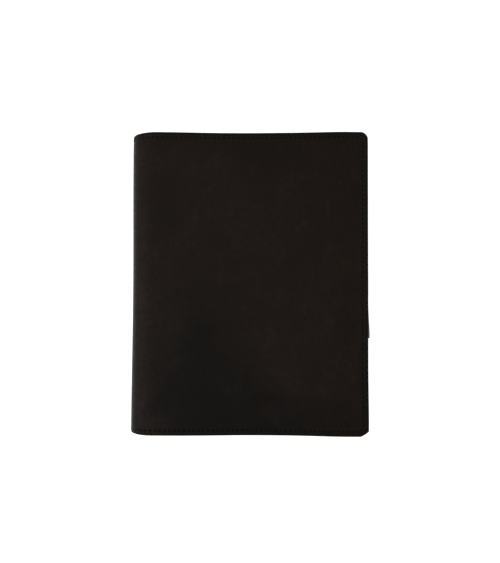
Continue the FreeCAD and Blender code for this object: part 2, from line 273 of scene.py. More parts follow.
class Panel:
    """One cover's flat pattern: a fine border round tail, fore-edge and head, and a coarser middle."""

    def __init__(self, wrap):
        self.wrap = wrap
        self.straight_u = wrap.length - BORDER - BORDER_TURN
        self.straight_y = HALF - BORDER - BORDER_TURN
        self.all_stitches = round(self.straight_u / SEAM_PITCH)
        self.head_pitch = self.straight_u / self.all_stitches
        self.fore_stitches = round(2 * self.straight_y / SEAM_PITCH)

    def stitches_from(self, x):
        """How many of the head seam's stitches lie past x."""
        return round((self.straight_u - self.wrap.u_at(x)) / self.head_pitch)

    def corner(self, sign):
        """The outline and the border's inner line round one fore-edge corner, from head or tail."""
        across, up, roundness = CORNER_CUT[sign]
        turn = np.linspace(0, math.pi / 2, CORNER_STEPS + 1)
        x = self.wrap.length - across * (1 - np.sin(turn) ** (2 / roundness))
        y = HALF - up * (1 - np.cos(turn).clip(0) ** (2 / roundness))
        ends = [[self.straight_u, HALF], [self.wrap.length, self.straight_y]]
        outline = np.concatenate([ends[:1], np.stack([x, y], axis=1), ends[1:]])
        outline = resample(outline, CORNER_COLUMNS)
        turn = np.linspace(0, math.pi / 2, CORNER_COLUMNS + 1)
        arc = np.stack([np.sin(turn), np.cos(turn)], axis=1)
        inner = [self.straight_u, self.straight_y] + BORDER_TURN * arc
        return outline * [1, sign], inner * [1, sign]

    def border(self, stitches):
        """The outline and the border's inner line, column by column: tail, fore-edge, head."""
        start = self.straight_u - stitches * self.head_pitch
        along = np.linspace(start, self.straight_u, stitches * COLUMNS + 1)
        up = np.linspace(-self.straight_y, self.straight_y, self.fore_stitches * COLUMNS + 1)
        lines = []
        for inset in (0, BORDER):
            tail = np.stack([along, np.full_like(along, inset - HALF)], axis=1)
            fore = np.stack([np.full_like(up, self.wrap.length - inset), up], axis=1)
            corners = [self.corner(sign)[len(lines)] for sign in (-1, 1)]
            head = tail[::-1] * [1, -1]
            parts = [tail[:-1], corners[0][:-1], fore[:-1], corners[1][::-1][:-1], head]
            lines.append(np.concatenate(parts))
        return lines

    def seam(self, stitches):
        """The holes of the seam, in order."""
        outline, inner = self.border(stitches)
        return (outline + (inner - outline) * SEAM_INSET / BORDER)[::COLUMNS]


def panel_piece(name, panel, stitches, across, outer, inner, look, fine=1):
    """A layer of a panel. outer and inner give its two faces' depths from u, y, edge distance and phase."""
    outline, border_end = panel.border(stitches)
    share = np.array(across)[:, None, None] / BORDER
    ring = outline[None] + (border_end - outline)[None] * share
    rows, columns = ring.shape[:2]
    cells_u, cells_y = stitches * 2 * fine, panel.fore_stitches * 2 * fine
    step = COLUMNS // (2 * fine)
    middle_u = np.linspace(outline[0, 0], panel.straight_u, cells_u + 1)
    middle_y = np.linspace(-panel.straight_y, panel.straight_y, cells_y + 1)
    middle = np.stack(np.meshgrid(middle_u, middle_y), axis=-1).reshape(-1, 2)
    flat = np.concatenate([ring.reshape(-1, 2), middle])
    edge = np.minimum(panel.wrap.length - middle[:, 0], HALF - np.abs(middle[:, 1]))
    edge = np.concatenate([np.repeat(across, columns), edge])
    phase = np.tile(np.arange(columns) % COLUMNS / COLUMNS, rows)
    phase = np.concatenate([phase, np.full(len(middle), 0.5)])

    faces = grid_faces(0, columns, rows)
    first = rows * columns
    faces += grid_faces(first, cells_u + 1, cells_y + 1)
    inside = (rows - 1) * columns

    def strip(start, points):
        """Joins the border's inner line to the middle's outline."""
        for i, (near, far) in enumerate(zip(points, points[1:])):
            line = [inside + start + i * step + j for j in range(step + 1)]
            faces.append(line + [far, near])

    def fan(start, point):
        """Joins the border's inner line round a corner to one point."""
        faces.append([inside + start + j for j in range(CORNER_COLUMNS + 1)] + [point])

    tail = [first + i for i in range(cells_u + 1)]
    fore = [first + cells_u + j * (cells_u + 1) for j in range(cells_y + 1)]
    head = [first + cells_y * (cells_u + 1) + i for i in range(cells_u, -1, -1)]
    tail_corner = stitches * COLUMNS
    head_corner = tail_corner + CORNER_COLUMNS + panel.fore_stitches * COLUMNS
    strip(0, tail)
    fan(tail_corner, fore[0])
    strip(tail_corner + CORNER_COLUMNS, fore)
    fan(head_corner, fore[-1])
    strip(head_corner + CORNER_COLUMNS, head)

    loop = list(range(columns))
    loop += [(row + 1) * columns + columns - 1 for row in range(rows - 1)]
    loop += [first + j * (cells_u + 1) for j in range(cells_y, -1, -1)]
    loop += [row * columns for row in range(rows - 1, 0, -1)]
    faces = close_layers(faces, loop, len(flat))

    u, y = flat[:, 0], flat[:, 1]
    vertices = [panel.wrap.place(u, y, depth(u, y, edge, phase)) for depth in (outer, inner)]
    return make_object(name, np.concatenate(vertices), faces, look)


def rim(edge, reach, drop):
    """A rounded edge: how far a face falls away near the outline."""
    share = 1 - np.clip(edge / reach, 0, 1)
    return drop * (1 - np.sqrt(1 - share**2))


def ridge(value, middle, width):
    """A bell-shaped bump, 1 at its middle."""
    return np.exp(-(((value - middle) / width) ** 2))


def slots(edge, phase):
    """1 in each short slot that a stitch is pulled into, 0 away from it."""
    along = np.abs(phase - 0.5) * SEAM_PITCH
    return np.exp(-((along / SLOT_REACH) ** 4) - ((edge - SEAM_INSET) / SLOT_WIDTH) ** 2)


# ---- sheets without a sewn border


def graded(low, high, step, edges):
    """Places from low to high, closer near both ends, where edges gives the distances."""
    count = max(2, round((high - low - 2 * edges[-1]) / step))
    middle = np.linspace(low + edges[-1], high - edges[-1], count + 1)
    near = low + np.array(edges[:-1])
    far = high - np.array(edges[:-1])[::-1]
    return np.concatenate([near, middle, far])


def round_corners(x, y, radius):
    """Bends the corners of a grid's outline into arcs. It gives the new places and the edge distance."""
    flat = np.stack([x, y])
    low, high = flat.min(axis=1, keepdims=True), flat.max(axis=1, keepdims=True)
    away = np.minimum(flat - low, high - flat)
    square = np.clip(radius - away, 0, radius) / radius
    disc = square * np.sqrt(1 - square[::-1] ** 2 / 2)
    corner = square.min(axis=0) > 0
    bent = flat + np.sign(flat - (low + high) / 2) * (disc - square) * radius
    edge = np.where(corner, radius * (1 - np.hypot(*disc)), away.min(axis=0))
    return *np.where(corner, bent, flat), edge


def sheet_piece(name, place, lines_u, lines_y, outer, inner, radius, look):
    """A closed sheet with round corners. outer and inner give its faces' depths from u, y and distance."""
    u, y = (axis.ravel() for axis in np.meshgrid(lines_u, lines_y))
    u, y, edge = round_corners(u, y, radius)
    columns, rows = len(lines_u), len(lines_y)
    faces = close_layers(grid_faces(0, columns, rows), grid_outline(columns, rows), len(u))
    vertices = [place(u, y, depth(u, y, edge)) for depth in (outer, inner)]
    return make_object(name, np.concatenate(vertices), faces, look)


# ---- thread


THREAD_SHOWS = (0.19, 0.81)  # the part of the way between two holes that a stitch covers
THREAD_RINGS = 9
THREAD_SIDES = 8
THREAD_SINKS = 1.1  # how deep a stitch's ends dip, in thread radii
THREAD_FLAT = 0.8  # how high the pressed thread is for its width


def thread_piece(name, runs, radius):
    """Laid stitches. Each run is a place function, holes as (u, y) pairs in order, and a depth function."""
    vertices, faces = [], []
    share = np.linspace(*THREAD_SHOWS, THREAD_RINGS)
    bow = np.sin(math.pi * np.linspace(0, 1, THREAD_RINGS))
    turn = np.linspace(0, 2 * math.pi, THREAD_SIDES, endpoint=False)
    for place, points, depth in runs:
        for near, far in zip(points, points[1:]):
            u, y = (near + (far - near) * share[:, None]).T
            under = depth(u, y)
            middle = place(u, y, under + THREAD_SINKS * (1 - bow**0.7) * radius)
            outward = unit(middle - place(u, y, under + MM))
            sideways = np.cross(unit(np.gradient(middle, axis=0)), outward)
            thick = radius * (0.62 + 0.38 * bow**0.5)
            first = len(vertices)
            for i in range(THREAD_RINGS):
                up = THREAD_FLAT * np.sin(turn)[:, None] * outward[i]
                vertices.extend(middle[i] + thick[i] * (np.cos(turn)[:, None] * sideways[i] + up))
            faces += tube_faces(first, THREAD_SIDES, THREAD_RINGS)
            faces.append([first + j for j in reversed(range(THREAD_SIDES))])
            faces.append([len(vertices) - THREAD_SIDES + j for j in range(THREAD_SIDES)])
    return make_object(name, vertices, faces, THREAD, sharp_angle=80)


# ---- materials


class Finish:
    """A material, built node by node."""

    def __init__(self, name, roughness, specular, sheen=0.0):
        self.material = bpy.data.materials.new(name)
        self.material.use_nodes = True
        self.tree = self.material.node_tree
        self.shader = self.tree.nodes["Principled BSDF"]
        settings = {"Roughness": roughness, "Specular IOR Level": specular, "Sheen Weight": sheen}
        for key, value in settings.items():
            self.shader.inputs[key].default_value = value
        self.place = self.add("TexCoord", "Object")

    def add(self, kind, output, inputs=None, **settings):
        """Adds a node, sets or links its inputs and gives one of its outputs."""
        node = self.tree.nodes.new("ShaderNode" + kind)
        for key, value in settings.items():
            setattr(node, key, value)
        for key, value in (inputs or {}).items():
            if isinstance(value, bpy.types.NodeSocket):
                self.tree.links.new(value, node.inputs[key])
            else:
                node.inputs[key].default_value = value
        return node.outputs[output]

    def axis(self, name):
        """One coordinate of the place."""
        return self.add("SeparateXYZ", name, {0: self.place})

    def stretch(self, scale, turn=0.0):
        """The place, stretched along the axes and turned about Z."""
        inputs = {"Vector": self.place, "Scale": scale, "Rotation": (0, 0, turn)}
        return self.add("Mapping", "Vector", inputs)

    def noise(self, scale, detail=3.0, place=None, distortion=0.0):
        inputs = {"Vector": place or self.place, "Scale": scale, "Detail": detail, "Distortion": distortion}
        return self.add("TexNoise", "Fac", inputs)

    def cells(self, scale):
        """How far a point is from the edge of its cell."""
        inputs = {"Vector": self.place, "Scale": scale}
        return self.add("TexVoronoi", "Distance", inputs, feature="DISTANCE_TO_EDGE")

    def remap(self, value, low, high, to_low, to_high):
        inputs = {"Value": value, "From Min": low, "From Max": high, "To Min": to_low, "To Max": to_high}
        return self.add("MapRange", "Result", inputs)

    def mix(self, share, low, high):
        """The colour low where share is 0 and high where it is 1. Its sockets go by number."""
        ends = (end if isinstance(end, bpy.types.NodeSocket) else (*end, 1) for end in (low, high))
        return self.add("Mix", 2, dict(zip((0, 6, 7), (share, *ends))), data_type="RGBA")

    def tint(self, colour, other, value, low, high, strength=1):
        """The colour turns into the other by up to strength as the value goes from low to high."""
        return self.mix(self.remap(value, low, high, 0, strength), colour, other)

    def math(self, operation, first, second=None):
        inputs = {0: first} if second is None else {0: first, 1: second}
        return self.add("Math", "Value", inputs, operation=operation)

    def bump(self, height, distance, strength=1.0, under=None):
        inputs = {"Height": height, "Distance": distance, "Strength": strength}
        if under:
            inputs["Normal"] = under
        return self.add("Bump", "Normal", inputs)

    def patch(self, centre, reach):
        """A soft-edged blotch: above 0 within reach of the centre, with a wandering outline."""
        scale = Vector([1 / along for along in reach])
        shift = -Vector(centre) * scale
        inputs = {"Vector": self.place, "Scale": scale, "Location": shift}
        away = self.add("Mapping", "Vector", inputs)
        length = self.add("VectorMath", "Value", {0: away}, operation="LENGTH")
        wander = self.remap(self.noise(45, 5, distortion=0.6), 0.3, 0.7, -0.22, 0.22)
        return self.math("ADD", self.math("SUBTRACT", 1.0, length), wander)

    def border(self):
        """0 inside the seam and 1 near the outline at head, fore-edge and tail, from a wandering line."""
        over = self.math("SUBTRACT", self.math("ABSOLUTE", self.axis("Y")), HALF - RIGHT)
        wander = self.remap(self.noise(60, 3), 0.3, 0.7, -1.2 * MM, 1.2 * MM)
        out = self.math("ADD", self.math("MAXIMUM", over, self.axis("X")), wander)
        return self.remap(out, RIGHT - SEAM_INSET - 0.8 * MM, RIGHT - 1.5 * MM, 0, 1)

    def beyond(self, height, reach):
        """0 at a height, where the hide's two halves meet, and 1 from reach away."""
        off = self.math("ABSOLUTE", self.math("SUBTRACT", self.axis("Z"), height))
        return self.remap(off, 0.7 * reach, reach, 0, 1)

    def edges(self):
        """1 on edges that stand out."""
        return self.remap(self.add("NewGeometry", "Pointiness"), 0.52, 0.6, 0, 1)

    def finish(self, colour, roughness, normal):
        for key, value in (("Base Color", colour), ("Roughness", roughness), ("Normal", normal)):
            self.tree.links.new(value, self.shader.inputs[key])
        return self.material


PAINTED_EDGE = (0.0050, 0.0040, 0.0034)
# Painted shade: the brown for patches where the hide lies in less light, and, with edge paint, for the
# border past the seam.
PAINTED_SHADE_BROWN = (0.0045, 0.0032, 0.0018)


def leather(name, dark, light, worn, roughness, specular, grain, shade_patches=()):
    """Smooth dyed hide: clouds, grain, pores, rubbed streaks, patches of painted shade, a border darkened by
    edge paint and painted shade, and painted cut edges.
    """
    coat = Finish(name, roughness, specular)
    cloud = coat.remap(coat.noise(30, 6, distortion=0.5), 0.35, 0.65, 0.17, 0.93)
    blotch = coat.remap(coat.noise(115, 5, distortion=0.4), 0.35, 0.65, 0, 1)
    mottle = coat.remap(coat.noise(330, 5), 0.33, 0.67, 0, 1)
    colour = coat.mix(cloud, dark, light)
    colour = coat.tint(colour, dark, blotch, 0, 1, 0.4)
    colour = coat.tint(colour, dark, mottle, 0, 1, 0.75)
    streaks = coat.noise(230, 5, coat.stretch((1, 0.4, 1), -0.45), distortion=0.5)
    colour = coat.tint(colour, worn, streaks, 0.6, 0.78, 0.4)
    # Patches of painted shade where less light falls on the hide.
    for centre, reach, strength in shade_patches:
        colour = coat.tint(colour, PAINTED_SHADE_BROWN, coat.patch(centre, reach), 0.05, 0.75, strength)
    painted = coat.math("MULTIPLY", coat.edges(), coat.beyond(MIDDLE, 2.5 * MM))
    # The border past the seam is darker: partly the edge paint that wraps over it, partly painted shade
    # along the rolled edge.
    colour = coat.tint(colour, PAINTED_SHADE_BROWN, coat.border(), 0, 1, 0.5)
    colour = coat.tint(colour, PAINTED_EDGE, painted, 0, 1, 0.8)
    rough = coat.remap(mottle, 0, 1, roughness - 0.05, roughness + 0.07)
    pores = coat.remap(coat.cells(1500), 0, 0.25, 0, 1)
    normal = coat.bump(pores, 0.03 * MM, grain)
    normal = coat.bump(coat.noise(620, 4), 0.06 * MM, grain, normal)
    normal = coat.bump(mottle, 0.1 * MM, 0.5 * grain, normal)
    return coat.finish(colour, rough, normal)


def suede(name, dark, light):
    """The flesh side of split leather: short nap and brushed patches."""
    coat = Finish(name, 0.9, 0.15, sheen=0.25)
    patches = coat.remap(coat.noise(45, 4, distortion=1.2), 0.35, 0.65, 0, 1)
    nap = coat.noise(1900, 2, coat.stretch((1, 0.35, 1), 0.3))
    colour = coat.mix(patches, dark, light)
    colour = coat.tint(colour, dark, nap, 0.3, 0.7, 0.5)
    normal = coat.bump(nap, 0.12 * MM, 0.7)
    return coat.finish(colour, coat.remap(nap, 0.3, 0.7, 0.82, 0.97), normal)


def fibre_board(name, dark, light):
    """Pressed leather fibre."""
    coat = Finish(name, 0.85, 0.2)
    fibre = coat.noise(900, 5, coat.stretch((1, 0.2, 1), 0.9))
    colour = coat.tint(dark, light, fibre, 0.3, 0.7)
    rough = coat.remap(fibre, 0.3, 0.7, 0.78, 0.92)
    return coat.finish(colour, rough, coat.bump(fibre, 0.08 * MM, 0.6))


def waxed_thread(name, dark, light):
    """Twisted and waxed thread."""
    coat = Finish(name, 0.7, 0.12)
    inputs = {"Vector": coat.stretch((1, 1, 1), 0.8), "Scale": 700, "Distortion": 1.5}
    twist = coat.add("TexWave", "Fac", inputs)
    fuzz = coat.noise(2500, 2)
    colour = coat.tint(dark, light, twist, 0, 1)
    normal = coat.bump(twist, 0.08 * MM, 0.7)
    return coat.finish(colour, coat.remap(fuzz, 0.3, 0.7, 0.6, 0.8), normal)


def book_cloth(name, dark, light):
    """The notebook's own covering: embossed leather-paper."""
    coat = Finish(name, 0.55, 0.35)
    emboss = coat.remap(coat.cells(900), 0, 0.3, 0, 1)
    cloud = coat.noise(60, 4)
    colour = coat.tint(dark, light, cloud, 0.3, 0.7)
    colour = coat.tint(colour, light, coat.edges(), 0, 1, 0.6)
    rough = coat.remap(emboss, 0, 1, 0.65, 0.48)
    return coat.finish(colour, rough, coat.bump(emboss, 0.05 * MM, 0.6))


def paper(name, light, shade):
    """Uncoated writing paper: faint fibres, and thin layers that show at the cut edge."""
    coat = Finish(name, 0.9, 0.2)
    cloud = coat.remap(coat.noise(55, 3), 0.35, 0.65, 0, 1)
    fibre = coat.noise(1600, 3, coat.stretch((1, 0.3, 1), 0.5))
    colour = coat.tint(light, shade, cloud, 0, 1, 0.14)
    colour = coat.tint(colour, shade, fibre, 0.55, 0.75, 0.35)
    leaves = coat.noise(4200, 2, coat.stretch((0.001, 0.001, 1)))
    colour = coat.tint(colour, shade, leaves, 0.45, 0.7, 0.45)
    rough = coat.remap(fibre, 0.3, 0.7, 0.85, 0.95)
    return coat.finish(colour, rough, coat.bump(fibre, 0.02 * MM, 0.5))


def striped_cloth(name, light, dark):
    """Head band: two colours of thread wound over a core."""
    coat = Finish(name, 0.8, 0.2)
    inputs = {"Vector": coat.place, "Scale": 160}
    stripe = coat.add("TexWave", "Fac", inputs, bands_direction="Z")
    colour = coat.tint(light, dark, stripe, 0.45, 0.55)
    fuzz = coat.noise(3000, 2)
    return coat.finish(colour, coat.remap(fuzz, 0.3, 0.7, 0.7, 0.9), coat.bump(stripe, 0.1 * MM, 0.8))


# Patches of painted shade, where less light falls on the hide. Each is a centre, its reach along the axes
# and a strength.
PAINTED_SHADE_PATCHES = [
    ((-0.037, -0.078, 0.024), (0.050, 0.092, 0.022), 0.88),
    ((-0.002, -0.112, 0.024), (0.095, 0.056, 0.022), 0.88),
    ((RIGHT, -0.085, 0.024), (0.009, 0.085, 0.022), 0.8),
    ((0.045, 0.114, 0.024), (0.120, 0.036, 0.022), 0.3),
    ((0.040, -0.112, 0.024), (0.080, 0.036, 0.022), 0.4),
]
# Dark, light and rubbed brown.
OUTER_BROWNS = (0.0142, 0.0078, 0.0044), (0.0268, 0.0158, 0.0103), (0.040, 0.026, 0.018)
INNER_BROWNS = (0.0140, 0.0092, 0.0064), (0.0250, 0.0166, 0.0118), (0.040, 0.028, 0.020)

# Each look is a material and the name of a slot.
OUTER_LEATHER = leather("outer_leather", *OUTER_BROWNS, 0.52, 0.2, 0.35, PAINTED_SHADE_PATCHES), "outer_leather"
INNER_LEATHER = leather("inner_leather", *INNER_BROWNS, 0.5, 0.25, 0.5), "inner_leather"
LINING = suede("lining_suede", (0.0150, 0.0120, 0.0100), (0.0240, 0.0190, 0.0155)), "lining"
LEATHERBOARD = fibre_board("leatherboard", (0.050, 0.034, 0.022), (0.110, 0.074, 0.048)), "leatherboard"
THREAD = waxed_thread("thread", (0.0042, 0.0034, 0.0028), (0.0095, 0.0076, 0.0062)), "thread"
BOOK_COVER = book_cloth("book_cover", (0.020, 0.020, 0.022), (0.034, 0.034, 0.037)), "notebook_cover"
PAPER = paper("paper", (0.92, 0.885, 0.79), (0.78, 0.72, 0.60)), "paper"
BAND_CLOTH = striped_cloth("band_cloth", (0.62, 0.57, 0.45), (0.09, 0.08, 0.07)), "band_cloth"


# ---- the hide and its layers

PANELS = {"front": Panel(FRONT), "back": Panel(BACK)}
FOLD_U = {"front": (10.2 * MM, 3.6 * MM), "back": (9.6 * MM, 3.6 * MM)}  # cover up to here, spine from here


def bend(piece, side, depth):
    """Works out the fold's two ends and bakes the piece's place into its mesh."""
    wrap = PANELS[side].wrap
    start, end = (Vector(wrap.place(u, 0, depth).tolist()) for u in FOLD_U[side])
    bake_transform(piece)


PUCKER = 0.17 * MM
PUCKER_PITCH = 3.1 * MM
PUCKERS_START = 98 * MM  # how far below mid-height the puckers begin


def creases(u, y):
    """Fine puckers where the tail seam turns over the spine."""
    window = ridge(u, 16 * MM, 9 * MM) * smooth((-y - PUCKERS_START) / (8 * MM))
    return PUCKER * window * np.sin((u * 0.8 + y) * 2 * math.pi / PUCKER_PITCH)


def hide_face(u, y, edge, phase):
    """The hide's outer face: cut edge, slots for the stitches and a border that swells between them."""
    pull = np.cos(phase * 2 * math.pi)
    swell = ridge(edge, 2 * MM, 0.8 * MM) * (0.03 + 0.03 * pull) * MM
    valley = ridge(edge, SEAM_INSET, 0.8 * MM) * 0.08 * MM
    slot = 0.5 * MM * slots(edge, phase)
    return rim(edge, 0.35 * MM, 0.25 * MM) + valley + slot - swell + creases(u, y)


def add_hide(side, *nodes):
    panel = PANELS[side]

    def inner(u, y, edge, phase):
        return LEATHER - GAP - rim(edge, 0.2 * MM, 0.12 * MM)

    stitches = panel.all_stitches
    piece = panel_piece(f"hide_{side}", panel, stitches, ACROSS_FINE, hide_face, inner, OUTER_LEATHER)
    bend(piece, side, LEATHER / 2)
    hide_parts(*nodes)


LEATHERBOARD_START = LEFT + 14 * MM


def add_leatherboard(side):
    """The stiffener stops short of the spine, where its edge is skived thin."""
    panel = PANELS[side]
    start = panel.wrap.u_at(LEATHERBOARD_START)
    stitches = panel.stitches_from(LEATHERBOARD_START)

    def outer(u, y, edge, phase):
        return LEATHER + 0 * u

    def inner(u, y, edge, phase):
        skived = smooth((u - start) / (6 * MM))
        return LEATHER + (LINING_DEPTH - LEATHER - GAP) * (0.2 + 0.8 * skived)

    piece = panel_piece(f"leatherboard_{side}", panel, stitches, ACROSS_LAYER, outer, inner, LEATHERBOARD)
    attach(piece, f"{side}_cover")
    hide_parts(f"{side}_reinforcement")


def lining_face(panel, u):
    """The depth of the lining's outer side, which steps over the leatherboard."""
    start = panel.wrap.u_at(LEATHERBOARD_START)
    return LEATHER + (LINING_DEPTH - LEATHER) * smooth((u - start + 2 * MM) / (8 * MM))


def add_lining(side, *nodes):
    panel = PANELS[side]
    thickness = STACK - LINING_DEPTH - GAP

    def cut(edge):
        return rim(edge - 0.2 * MM, 0.2 * MM, 0.1 * MM)

    def outer(u, y, edge, phase):
        return lining_face(panel, u) + cut(edge)

    def inner(u, y, edge, phase):
        pressed = ridge(edge, SEAM_INSET, 0.6 * MM) * 0.12 * MM
        return lining_face(panel, u) + thickness - cut(edge) - pressed

    stitches = panel.all_stitches
    piece = panel_piece(f"lining_{side}", panel, stitches, ACROSS_LAYER, outer, inner, LINING)
    bend(piece, side, LEATHER)
    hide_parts(*nodes)


# ---- pocket flaps

CAVITY_END = BOOK_HIGH.x + 2.2 * MM
CAVITY_SIDE = BOOK_HIGH.y + 0.9 * MM
RAISE = FLAP_DEPTH - STACK - FLAP
FLAP_PEEK = 0.25 * MM  # how far the flap's edge shows past the hide's


def flap_raise(panel, u, y):
    """1 where the flap stands over the board and 0 on its sewn border."""
    x = np.interp(u, panel.wrap.along, panel.wrap.across)
    return smooth((CAVITY_END - x) / (2 * MM) + 0.5) * smooth((CAVITY_SIDE - np.abs(y)) / (1.2 * MM) + 0.5)


def add_flap(side):
    panel = PANELS[side]
    stitches = panel.stitches_from(FLAP_LEFT)
    start = panel.straight_u - stitches * panel.head_pitch

    def open_edge(u):
        return rim(u - start, 0.5 * MM, 0.4 * MM)

    def outer(u, y, edge, phase):
        return STACK + RAISE * flap_raise(panel, u, y) + rim(edge, 0.5 * MM, 0.3 * MM) + open_edge(u)

    def inner(u, y, edge, phase):
        crease = ridge(u - start, 2.2 * MM, 0.5 * MM) * 0.22 * MM
        valley = ridge(edge, SEAM_INSET, 0.8 * MM) * 0.1 * MM + 0.35 * MM * slots(edge, phase)
        face = STACK + FLAP - GAP + RAISE * flap_raise(panel, u, y)
        return face - crease - valley - rim(edge, 0.6 * MM, 0.45 * MM) - open_edge(u)

    across = [-FLAP_PEEK] + ACROSS_FINE[1:]
    piece = panel_piece(f"pocket_{side}", panel, stitches, across, outer, inner, INNER_LEATHER, fine=2)
    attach(piece, f"{side}_cover")
    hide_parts(f"{side}_pocket_flap")


# ---- the seam

THREAD_RADIUS = 0.42 * MM
LOOP_LOW, LOOP_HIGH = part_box("pen_loop")
LOOP_LEATHER = 1.2 * MM


def add_seam(side, *nodes):
    """The seam on both faces. Inside the back cover it also holds down the pen loop's tab."""
    panel = PANELS[side]
    points = panel.seam(panel.all_stitches)
    flap_start = panel.straight_u - panel.stitches_from(FLAP_LEFT) * panel.head_pitch
    tab = LOOP_LOW.z + LOOP_LEATHER - STACK - FLAP

    def outside(u, y):
        return 0.4 * MM + 0 * u

    def inside(u, y):
        under_flap = smooth((u - flap_start) / (0.6 * MM) + 0.5)
        depth = lining_face(panel, u) + STACK - LINING_DEPTH - 0.1 * MM + under_flap * (FLAP - 0.2 * MM)
        if side == "back":
            held = (u > panel.wrap.length - 4 * MM) & (y > LOOP_LOW.y) & (y < LOOP_HIGH.y)
            depth = np.where(held, depth + tab + 0.1 * MM, depth)
        return depth

    def turned(u, y, depth):
        """The same place, with the thread standing inwards."""
        return panel.wrap.place(u, y, 2 * inside(u, y) - depth)

    runs = [(panel.wrap.place, points, outside), (turned, points, inside)]
    piece = thread_piece(f"seam_{side}", runs, THREAD_RADIUS)
    bend(piece, side, LEATHER / 2)
    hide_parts(*nodes)


# ---- card pockets

CARD_EDGES = steps(0, 0.12, 0.3, 0.6, 1.1, 1.8, 2.2, 2.5, 2.8, 3.3, 4.2)
CARD_STEP = 1.1 * MM
CARD_RADIUS = 3 * MM
CARD_SEAM = 2.5 * MM  # in from the edge
CARD_SEAM_RADIUS = CARD_RADIUS - CARD_SEAM + 1.2 * MM
CARD_PITCH = 3 * MM
CARD_THREAD_RADIUS = 0.28 * MM
CARD_BULGE = 0.45 * MM


def add_card_pocket(node):
    low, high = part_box(node)
    under = FRONT_HIGH.z - high.z
    thickness = high.z - low.z
    u_low, u_high = FRONT.u_at(low.x), FRONT.u_at(high.x)
    mouth = high.y

    def bulge(u, y):
        across = np.clip((u - u_low) / (u_high - u_low), 0, 1)
        up = np.clip((y - low.y) / (high.y - low.y), 0, 1)
        return CARD_BULGE * np.sin(math.pi * across) * np.sin(math.pi * up * 0.62)

    def outer(u, y, edge):
        return under + bulge(u, y) + rim(edge, 0.3 * MM, 0.15 * MM)

    def inner(u, y, edge):
        sewn = (mouth - y) > 1.2 * MM
        valley = ridge(edge, CARD_SEAM, 0.6 * MM) * 0.2 * MM * sewn
        crease = ridge(mouth - y, 1.8 * MM, 0.4 * MM) * 0.18 * MM
        face = under + thickness - GAP + bulge(u, y)
        return face - valley - crease - rim(edge, 0.6 * MM, 0.45 * MM)

    lines_u = graded(u_low, u_high, CARD_STEP, CARD_EDGES)
    lines_y = graded(low.y, high.y, CARD_STEP, CARD_EDGES)
    place = FRONT.place
    piece = sheet_piece(f"{node}_leather", place, lines_u, lines_y, outer, inner, CARD_RADIUS, INNER_LEATHER)
    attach(piece, "front_cover")
    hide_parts(node)

    left, right = u_low + CARD_SEAM, u_high - CARD_SEAM
    bottom = low.y + CARD_SEAM
    arc = np.linspace(0, math.pi / 2, 9)
    growing, shrinking = CARD_SEAM_RADIUS * (1 - np.cos(arc)), CARD_SEAM_RADIUS * (1 - np.sin(arc))
    left_arc = np.stack([left + growing, bottom + shrinking], axis=1)
    right_arc = np.stack([right - shrinking, bottom + growing], axis=1)
    route = np.concatenate([[[left, mouth - MM]], left_arc, right_arc, [[right, mouth - MM]]])
    length = np.linalg.norm(np.diff(route, axis=0), axis=1).sum()
    points = resample(route, round(length / CARD_PITCH))

    def seam_depth(u, y):
        return under + thickness + bulge(u, y) - 0.15 * MM

    def turned(u, y, depth):
        return place(u, y, 2 * seam_depth(u, y) - depth)

    thread = thread_piece(f"{node}_seam", [(turned, points, seam_depth)], CARD_THREAD_RADIUS)
    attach(thread, "front_cover")
    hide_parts(f"{node}_stitching")


# ---- pen loop

LOOP_LEAN = 0.95 * MM  # how much further the loop's lower end stands out than its upper half
LOOP_TURN = 322  # how many degrees the strip goes round
LOOP_STEPS = 80
LOOP_EDGES = steps(0, 0.1, 0.25, 0.5, 0.9, 1.6, 2.4)


def add_pen_loop():
    """A strip that goes round a pen from a tab sewn under the fore-edge seam."""
    low, high = LOOP_LOW, LOOP_HIGH
    outside = (high.z - low.z) / 2
    middle_radius = outside - LOOP_LEATHER / 2
    centre = Vector((high.x - outside, (low.y + high.y) / 2, low.z + outside))
    half_length = (high.y - low.y) / 2
    tab_end = RIGHT - 0.6 * MM - centre.x
    turn = np.radians(np.linspace(-90, -90 - LOOP_TURN, LOOP_STEPS + 1))
    circle = np.stack([np.cos(turn), np.sin(turn)], axis=1) * middle_radius
    tab = np.linspace(tab_end, 0, 7, endpoint=False)
    tab = np.stack([tab, np.full_like(tab, -middle_radius)], axis=1)
    line = np.concatenate([tab, circle])
    forward = unit(np.gradient(line, axis=0))
    outward = np.stack([-forward[:, 1], forward[:, 0]], axis=1)
    stations = graded(-half_length, half_length, 2.2 * MM, LOOP_EDGES)
    vertices = []
    for y in stations:
        edge = half_length - abs(y)
        half = LOOP_LEATHER / 2 - rim(edge, 0.5 * MM, 0.35 * MM)
        half = half - ridge(edge, 1.6 * MM, 0.45 * MM) * 0.12 * MM
        slack = 1 + 0.012 * math.sin(y * 140)
        lean = LOOP_LEAN * smooth((y + half_length) / half_length)
        for sign in (1, -1):
            band = line * [slack, 1] + outward * sign * half
            row = band if sign > 0 else band[::-1]
            vertices.extend([point[0] - lean, y, point[1]] for point in row)
    count = 2 * len(line)
    faces = tube_faces(0, count, len(stations))
    for first in (0, (len(stations) - 1) * count):
        for i in range(len(line) - 1):
            faces.append([first + i, first + i + 1, first + count - 2 - i, first + count - 1 - i])
    piece = make_object("pen_loop_strap", vertices, faces, INNER_LEATHER)
    piece.data.transform(Matrix.Translation(centre))
    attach(piece, "back_cover")
    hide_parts("pen_loop")


# ---- the notebook

BOOK_EDGES = steps(0, 0.12, 0.3, 0.6, 1.0, 1.6, 2.4, 3.4)
BOOK_HALF = BOOK_HIGH.y - 0.7 * MM
JOINT_U = 12.5 * MM  # the groove where a board hinges on its spine
CASE = 0.75 * MM  # the covering alone, between spine and board
CASE_START = 5.2 * MM
CASE_GAP = 0.12 * MM  # from the lining


def case_face(panel, u):
    """The depth of the notebook's outside, just inside the lining."""
    return lining_face(panel, u) + STACK - LINING_DEPTH + CASE_GAP


